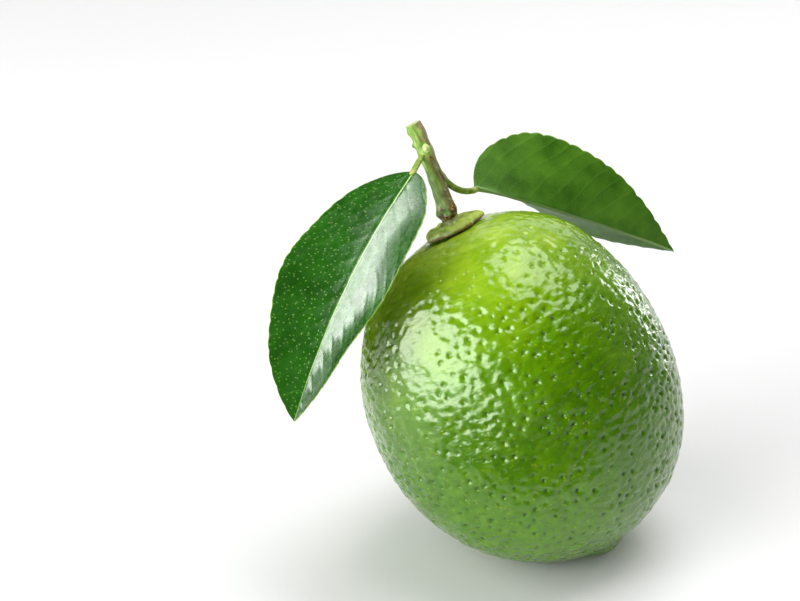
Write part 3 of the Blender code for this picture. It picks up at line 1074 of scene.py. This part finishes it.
def petiole_finish():
    stalk = Finish("petiole_green", Roughness=0.42, IOR=1.42)
    where = stalk.position()
    along = stalk.stored("along")
    ground = stalk.ramp(stalk.noise(where, 1500.0, 4.0), (0.3, (0.11, 0.20, 0.015)),
                        (0.7, (0.27, 0.38, 0.06)))
    joint = stalk.fade(along, 0.78, 0.92)
    ground = stalk.mix(stalk.math("MULTIPLY", joint, 0.7), ground, JOINT_YELLOW)
    foot = stalk.fade(along, 0.14, 0.02)
    ground = stalk.mix(stalk.math("MULTIPLY", foot, 0.5), ground, FOOT_BROWN)
    stalk.paint(ground)
    stalk.emboss(stalk.noise(where, 4000.0, 3.0), 0.06 * MM)
    return stalk


stalk_green = petiole_finish()
for leaf in LEAVES:
    stalk = petiole_mesh(leaf)
    place(leaf.side + "_stalk", stalk, leaf.side + "_petiole", "petiole", stalk_green)

# %% [markdown]
# ## The blades
#
# A blade could be a flat outline with a texture, but the leaves show their edges and their
# veins, so each is a thin solid with its own upper and under surface. One rule gives the
# middle of the blade from two shares: how far along the midrib, and how far across. On top
# of it lie the margin's blunt teeth and slow waves. Above, the midrib is a groove and the
# side veins are sunk. Below, both stand out as ribs.

# %% Rules of a blade
BLADE_ROWS = 170
BLADE_COLUMNS = 60
BLADE_THICKNESS = 0.30 * MM
MARGIN_THICKNESS = 0.14 * MM
TEETH = 19
VEIN_PITCH = 3.9 * MM
VEIN_LEAN = 0.80           # how far along a side vein runs for each step across
VEIN_CURL = 26.0           # how much more it leans towards the margin
VEIN_WIDTH = 0.34 * MM
VEIN_RISE = 0.07 * MM
MIDRIB_WIDTH = 0.42 * MM
MIDRIB_RISE = 0.42 * MM
MIDRIB_GROOVE = 0.13 * MM
MARGIN_WAVE = 0.25 * MM
WAVES = 2.6                   # along one margin
TUCK_SHARE = 0.16             # how far up the blade a tucked foot reaches


def blade_half_width(leaf, share):
    """From the midrib to the margin; it never quite closes, so that no face is empty."""
    widest = leaf.foot_bluntness / (leaf.foot_bluntness + leaf.tip_sharpness)
    rise = (share / widest) ** leaf.foot_bluntness
    fall = (max(0.0, 1.0 - share) / (1.0 - widest)) ** leaf.tip_sharpness
    return max(leaf.half_width * rise * fall, (0.45 - 0.40 * share) * MM)


def tooth(leaf, share, across):
    """How far the margin pulls in between two teeth."""
    notch = 1.0 - abs(sin(pi * TEETH * share + across)) ** 0.7
    uneven = 1.0 + 0.8 * noise.noise(Vector((share * 14.0, across, leaf.seed)))
    return leaf.tooth * notch * uneven * min(1.0, 8.0 * share)


def blade_middle(leaf, share, across):
    """Middle surface of the blade in its own frame; across runs from -1 to 1."""
    width = blade_half_width(leaf, share) - tooth(leaf, share, across) * abs(across) ** 10
    if across > 0.0:
        width *= 1.0 - leaf.tuck * exp(-(share / TUCK_SHARE) ** 2)
    fold = leaf.foot_fold + (leaf.tip_fold - leaf.foot_fold) * share
    lean = abs(across) ** (1.0 + leaf.cupping)
    bow = 4.0 * leaf.arch * share * (1.0 - share)
    wave = sin(2.0 * pi * WAVES * share + leaf.seed + across) * across ** 2
    wave += 0.7 * noise.noise(Vector((share * 5.0, across * 1.3, leaf.seed)))
    hold = min(1.0, 5.0 * share) * min(1.0, 5.0 * (1.0 - share))
    return Vector((leaf.length * share, across * width * cos(fold),
                   lean * width * sin(fold) + bow + MARGIN_WAVE * wave * hold))


def vein(leaf, x, y):
    """How near a point is to a side vein, from 0 to 1."""
    shift = 0.5 if y > 0.0 else 0.0
    bent = x - abs(y) * VEIN_LEAN - VEIN_CURL * y * y
    wander = 0.35 * noise.noise(Vector((x * 160.0, y * 160.0, leaf.seed)))
    off = (bent / VEIN_PITCH + shift + wander + 0.5) % 1.0 - 0.5
    return swell(off * VEIN_PITCH, VEIN_WIDTH) * min(1.0, abs(y) / MM)


print("side veins on each half:", [int(leaf.length / VEIN_PITCH) for leaf in LEAVES])

# %% [markdown]
# ## Sewing a blade together
#
# The rule gives one sheet of points. A solidify modifier would thicken it evenly, but a
# leaf is thinner at its margin, and its veins are sunk above and stand out below. So the
# sheet is laid down twice, once pushed up and once pushed down, and a rim of faces closes
# the gap. Each vertex keeps how near a vein, the midrib and the margin it is.

# %% Build a blade
def blade_faces(columns):
    """Faces of the upper side and the underside in turn, and then of the rim."""
    first_under = BLADE_ROWS * columns
    faces = []
    for row in range(BLADE_ROWS - 1):
        for column in range(columns - 1):
            here = row * columns + column
            quad = (here, here + columns, here + columns + 1, here + 1)
            faces.append(quad)
            faces.append(tuple(index + first_under for index in reversed(quad)))
    rim = [row * columns for row in range(BLADE_ROWS)]
    rim += [(BLADE_ROWS - 1) * columns + column for column in range(1, columns)]
    rim += [row * columns + columns - 1 for row in range(BLADE_ROWS - 2, -1, -1)]
    rim += list(range(columns - 2, 0, -1))
    for here, there in zip(rim, rim[1:] + rim[:1]):
        faces.append((here, here + first_under, there + first_under, there))
    return faces


def blade_mesh(leaf):
    shares = np.linspace(0.0, 1.0, BLADE_ROWS)
    acrosses = np.sin(np.linspace(-0.5 * pi, 0.5 * pi, BLADE_COLUMNS + 1) * 0.9) / sin(0.45 * pi)
    sheet = np.array([[blade_middle(leaf, share, across) for across in acrosses]
                      for share in shares])
    down, over = np.gradient(sheet, axis=0), np.gradient(sheet, axis=1)
    normals = np.cross(down, over)
    normals /= np.linalg.norm(normals, axis=2)[:, :, None]
    points, veins, edges, ribs, lies = [], [], [], [], []
    for under in (False, True):
        for row, share in enumerate(shares):
            taper = (1.0 - share) ** 0.6
            for column, across in enumerate(acrosses):
                centre, normal = sheet[row, column], normals[row, column]
                span = blade_half_width(leaf, share) * across
                near = vein(leaf, centre[0], span)
                rib = swell(span, MIDRIB_WIDTH * (0.35 + 0.65 * taper))
                thinning = (MARGIN_THICKNESS - BLADE_THICKNESS) * abs(across) ** 3
                thick = 0.5 * (BLADE_THICKNESS + thinning)
                if under:
                    rise = -thick - VEIN_RISE * near - MIDRIB_RISE * taper * rib
                else:
                    rise = thick - VEIN_RISE * near - MIDRIB_GROOVE * rib
                points.append(centre + normal * rise)
                veins.append(near)
                edges.append(abs(across))
                ribs.append(rib)
                lies.append((centre[0], span, leaf.seed * 0.01))
    mesh = new_mesh(leaf.side + "_blade", points, blade_faces(len(acrosses)))
    for name, values in (("vein", veins), ("edge", edges), ("rib", ribs)):
        store(mesh, name, np.array(values))
    store(mesh, "lie", np.array(lies))
    mesh.transform(blade_frame(leaf))
    first_under = BLADE_ROWS * len(acrosses)
    is_under = [polygon.vertices[0] >= first_under for polygon in mesh.polygons]
    mesh.polygons.foreach_set("material_index", is_under)
    return mesh


# %% [markdown]
# ## The blades' finishes
#
# The upper side is dark and glossy, with a pale midrib, faint pale veins, and oil glands
# that show as yellow-green dots. The underside is a lighter, duller green with pale veins
# and flecks. Both end in a thin yellow margin. One finish could serve both sides with a
# switch, but two short ones are easier to read. They are drawn on the blade laid flat, so
# that nothing stretches where it folds.

# %% Finish of the upper side
def leaf_upper_finish():
    leaf = Finish("leaf_upper", Roughness=0.3, IOR=1.46, Coat_Weight=0.4, Coat_Roughness=0.12,
                  Specular_Tint=(0.80, 1.0, 0.75, 1.0))
    lie = leaf.stored("lie", "Vector")
    ground = leaf.ramp(leaf.noise(lie, 230.0, 4.0), (0.3, (0.005, 0.043, 0.0006)),
                       (0.7, (0.011, 0.080, 0.0015)))
    vein_share = leaf.fade(leaf.stored("vein"), 0.55, 1.0, 0.0, 0.35)
    ground = leaf.mix(vein_share, ground, (0.045, 0.16, 0.015))
    dots = leaf.cells(lie, 950.0, flat=True)
    dot = leaf.fade(dots.outputs["Distance"], 0.17, 0.07)
    ground = leaf.mix(leaf.math("MULTIPLY", dot, 0.30), ground, (0.17, 0.36, 0.01))
    ground = leaf.mix(leaf.fade(leaf.stored("rib"), 0.72, 0.92), ground, (0.22, 0.36, 0.09))
    ground = leaf.mix(leaf.fade(leaf.stored("edge"), 0.984, 0.995), ground, (0.17, 0.30, 0.03))
    leaf.paint(ground)
    leaf.shine(leaf.fade(leaf.noise(lie, 600.0, 4.0), 0.3, 0.7, 0.20, 0.34))
    grain = leaf.noise(lie, 2600.0, 3.0)
    leaf.emboss(leaf.math("ADD", leaf.math("MULTIPLY", grain, 0.5), dot), 0.03 * MM)
    return leaf


# %% Finish of the underside
def leaf_under_finish():
    leaf = Finish("leaf_under", Roughness=0.5, IOR=1.42, Specular_IOR_Level=0.3,
                  Specular_Tint=(0.6, 0.95, 0.4, 1.0))
    lie = leaf.stored("lie", "Vector")
    ground = leaf.ramp(leaf.noise(lie, 200.0, 4.0), (0.32, (0.030, 0.110, 0.002)),
                       (0.68, (0.080, 0.220, 0.011)))
    vein_share = leaf.fade(leaf.stored("vein"), 0.4, 1.0, 0.0, 0.22)
    ground = leaf.mix(vein_share, ground, (0.15, 0.32, 0.05))
    dots = leaf.cells(lie, 1100.0, flat=True)
    dot = leaf.math("MULTIPLY", leaf.fade(dots.outputs["Distance"], 0.16, 0.06), 0.15)
    ground = leaf.mix(dot, ground, (0.22, 0.36, 0.10))
    ground = leaf.mix(leaf.fade(leaf.stored("rib"), 0.3, 0.8), ground, (0.26, 0.40, 0.14))
    ground = leaf.mix(leaf.fade(leaf.stored("edge"), 0.982, 0.994), ground, (0.22, 0.36, 0.06))
    leaf.paint(ground)
    leaf.emboss(leaf.noise(lie, 3200.0, 3.0), 0.05 * MM)
    return leaf


leaf_finishes = (leaf_upper_finish(), leaf_under_finish())
for leaf in LEAVES:
    place(leaf.side + "_blade", blade_mesh(leaf), leaf.side + "_leaf", "leaf", *leaf_finishes)

# %% [markdown]
# ## The table
#
# The lime lies on a plain pale table. One large square will do, with the faintest cloud in
# its white, since paper is never quite even.

# %% The table
TABLE_HALF_WIDTH = 3.0


def add_table():
    bm = bmesh.new()
    bmesh.ops.create_grid(bm, x_segments=1, y_segments=1, size=TABLE_HALF_WIDTH)
    mesh = bpy.data.meshes.new("table")
    bm.to_mesh(mesh)
    bm.free()
    table = bpy.data.objects.new("table", mesh)
    bpy.context.scene.collection.objects.link(table)
    paper = Finish("table_white", Roughness=0.8)
    shade = paper.noise(paper.spot(), 3.0)
    paper.paint(paper.ramp(shade, (0.3, (0.70, 0.70, 0.70)), (0.7, (0.73, 0.73, 0.73))))
    mesh.materials.append(paper.material)


add_table()
print("table:", 2.0 * TABLE_HALF_WIDTH, "m wide")

# %% [markdown]
# ## The sky
#
# White all round would be simple, but then the wax would mirror white all round and the
# green would look milky. In this studio the room is dark behind the camera and bright
# behind the lime, on the right. What mirror rays see of it is toned down, which keeps the
# green deep, and the camera sees one even tone, with no horizon.

# %% The sky
SKY_FRONT = 0.10
SKY_BACK = 0.90
MIRRORED_SKY = 0.22           # share of the sky that the wax mirrors
BRIGHT_SIDE = (0.50, 0.85, 0.10)
WHITE = (1.0, 1.0, 1.0)


def add_sky():
    """A room that is dark behind the camera and bright behind the lime."""
    world = bpy.data.worlds.new("studio")
    world.use_nodes = True
    nodes, links = world.node_tree.nodes, world.node_tree.links
    where = nodes.new("ShaderNodeTexCoord")
    behind = nodes.new("ShaderNodeVectorMath")
    behind.operation = "DOT_PRODUCT"
    behind.inputs[1].default_value = BRIGHT_SIDE
    depth = nodes.new("ShaderNodeMapRange")
    depth.interpolation_type = "SMOOTHSTEP"
    for socket, value in (("From Min", 0.15), ("From Max", 0.9), ("To Min", SKY_FRONT),
                          ("To Max", SKY_BACK)):
        depth.inputs[socket].default_value = value
    ray = nodes.new("ShaderNodeLightPath")
    tone = nodes.new("ShaderNodeMapRange")
    tone.inputs["To Min"].default_value = 1.0
    tone.inputs["To Max"].default_value = MIRRORED_SKY
    strength = nodes.new("ShaderNodeMath")
    strength.operation = "MULTIPLY"
    seen = nodes.new("ShaderNodeMix")
    seen.inputs["B"].default_value = SKY_BACK
    links.new(where.outputs["Generated"], behind.inputs[0])
    links.new(behind.outputs["Value"], depth.inputs["Value"])
    links.new(ray.outputs["Is Glossy Ray"], tone.inputs["Value"])
    links.new(depth.outputs["Result"], strength.inputs[0])
    links.new(tone.outputs["Result"], strength.inputs[1])
    links.new(ray.outputs["Is Camera Ray"], seen.inputs["Factor"])
    links.new(strength.outputs["Value"], seen.inputs["A"])
    links.new(seen.outputs["Result"], nodes["Background"].inputs["Strength"])
    nodes["Background"].inputs["Color"].default_value = (*WHITE, 1.0)
    bpy.context.scene.world = world


add_sky()
print("sky:", SKY_FRONT, "in front to", SKY_BACK, "behind")

# %% [markdown]
# ## Windows, lamps and cards
#
# A glossy fruit is lit in two ways at once. Its green comes from light that the rind
# scatters, and its highlights are mirror images of the windows. A studio keeps the two
# apart with filters and cards. Here each lamp is told what it does: a window that only makes a
# highlight, or a lamp that only lights the green. A lamp can also keep to one piece, or pass
# one by. A dark card, which only mirror rays meet, keeps an edge of the rind deep in
# colour, as a black card at the side of a bottle does.

# %% Make a lamp or a card
def hang(thing, direction, distance):
    """Hang a lamp or a card in this direction from the fruit, facing it."""
    way = Vector(direction).normalized()
    thing.location = fruit_middle + way * distance
    thing.rotation_euler = way.to_track_quat("Z", "Y").to_euler()
    bpy.context.scene.collection.objects.link(thing)


def add_window(name, direction, distance, width, height, power):
    """A soft window, seen from the fruit in this direction. Sizes are in metres, power is
    in watts."""
    light = bpy.data.lights.new(name, "AREA")
    light.shape = "RECTANGLE"
    light.size = width
    light.size_y = height
    light.energy = power
    lamp = bpy.data.objects.new(name, light)
    hang(lamp, direction, distance)
    return lamp


def light_only(lamp, piece_name):
    """Keep a lamp's light to one piece."""
    lit = bpy.data.collections.new(lamp.name + "_lit")
    lit.objects.link(bpy.data.objects[piece_name])
    lamp.light_linking.receiver_collection = lit


def light_past(lamp, piece_name):
    """Let a lamp's light pass one piece as if that piece weren't there, and let mirror rays
    pass it too."""
    others = bpy.data.collections.new(lamp.name + "_others")
    for thing in bpy.data.objects:
        if thing.type == "MESH" and thing.name != piece_name:
            others.objects.link(thing)
    lamp.light_linking.receiver_collection = others
    lamp.light_linking.blocker_collection = others
    bpy.data.objects[piece_name].visible_glossy = False


def add_dark_card(name, direction, distance, width, height):
    """A black card that only mirror rays meet."""
    bm = bmesh.new()
    bmesh.ops.create_grid(bm, x_segments=1, y_segments=1, size=0.5)
    bmesh.ops.scale(bm, vec=(width, height, 1.0), verts=bm.verts)
    mesh = bpy.data.meshes.new(name)
    bm.to_mesh(mesh)
    bm.free()
    cloth = Finish("black_cloth", Roughness=1.0, Specular_IOR_Level=0.0)
    cloth.paint(cloth.mix(cloth.noise(cloth.spot(), 900.0), (0.0, 0.0, 0.0), (0.01, 0.01, 0.01)))
    mesh.materials.append(cloth.material)
    card = bpy.data.objects.new(name, mesh)
    for ray in ("camera", "diffuse", "shadow", "transmission", "volume_scatter"):
        setattr(card, "visible_" + ray, False)
    hang(card, direction, distance)


# %% [markdown]
# ## Hanging the lights
#
# The left window makes the broad highlight on the left. It sends no scattered light, and it
# passes the left leaf, which would stand in its way. The leaf's own window gives the streak
# along it. The top window makes the second highlight, the strip draws the glitter down the
# right edge, and the back window pales the top of the rind. The key and the fill light
# the green. One card darkens the left edge and the other the lower front.

# %% Hang the lights
LAMP_DISTANCE = 0.8
LAMP_SIZE = 0.60
GREEN_LAMPS = (
    ("key", (-0.60, -0.30, 0.74), 2.8),
    ("fill", (-0.75, -0.62, 0.22), 8.5),
)

left_window = add_window("left_window", (-0.83, -0.42, 0.34), 0.7, 0.92, 0.54, 15.5)
left_window.visible_diffuse = False
light_past(left_window, "left_blade")
leaf_window = add_window("leaf_window", (-0.78, 0.50, 0.38), 0.9, 0.40, 0.52, 5.4)
light_only(leaf_window, "left_blade")
add_window("top_window", (0.18, 0.17, 0.96), 0.7, 0.58, 0.50, 4.6)
add_window("right_strip", (0.70, 0.74, 0.05), 0.7, 0.12, 0.46, 1.5)
back_window = add_window("back_window", (0.05, 0.90, 0.35), 0.7, 0.60, 0.34, 0.6)
back_window.visible_diffuse = False
light_only(back_window, "rind")
add_dark_card("left_card", (-0.64, 0.76, 0.08), 90.0 * MM, 66.0 * MM, 66.0 * MM)
add_dark_card("front_card", (-0.10, -0.95, -0.30), 60.0 * MM, 96.0 * MM, 36.0 * MM)
for name, direction, power in GREEN_LAMPS:
    lamp = add_window(name, direction, LAMP_DISTANCE, LAMP_SIZE, LAMP_SIZE, power)
    lamp.visible_glossy = False
bpy.context.scene.view_settings.view_transform = "Standard"

# %% [markdown]
# ## The camera
#
# The camera looks down on the lime from the front. A short lens close by would swell the
# nearer side, so a long one stands further off. It aims to the left of the lime and above
# its middle, which puts the lime in the lower right of the frame.

# %% Set up the camera
CAMERA_HEIGHT_ANGLE = radians(25)
CAMERA_DISTANCE = 371.6 * MM
AIM_LEFT = 20.2 * MM
AIM_UP = 15.0 * MM
LENS = 100.0                  # in millimetres, as Blender takes it
SENSOR_WIDTH = 36.0
camera_up = Vector((0.0, sin(CAMERA_HEIGHT_ANGLE), cos(CAMERA_HEIGHT_ANGLE)))
towards_camera = Vector((0.0, -cos(CAMERA_HEIGHT_ANGLE), sin(CAMERA_HEIGHT_ANGLE)))
target = fruit_middle + Vector((-AIM_LEFT, 0.0, 0.0)) + camera_up * AIM_UP
lens = bpy.data.cameras.new("camera")
lens.lens = LENS
lens.sensor_width = SENSOR_WIDTH
lens.clip_start = 0.01
camera = bpy.data.objects.new("camera", lens)
camera.location = target + towards_camera * CAMERA_DISTANCE
camera.rotation_euler = (pi / 2.0 - CAMERA_HEIGHT_ANGLE, 0.0, 0.0)
bpy.context.scene.collection.objects.link(camera)
bpy.context.scene.camera = camera
print("camera at, in mm:", [round(value / MM, 1) for value in camera.location])
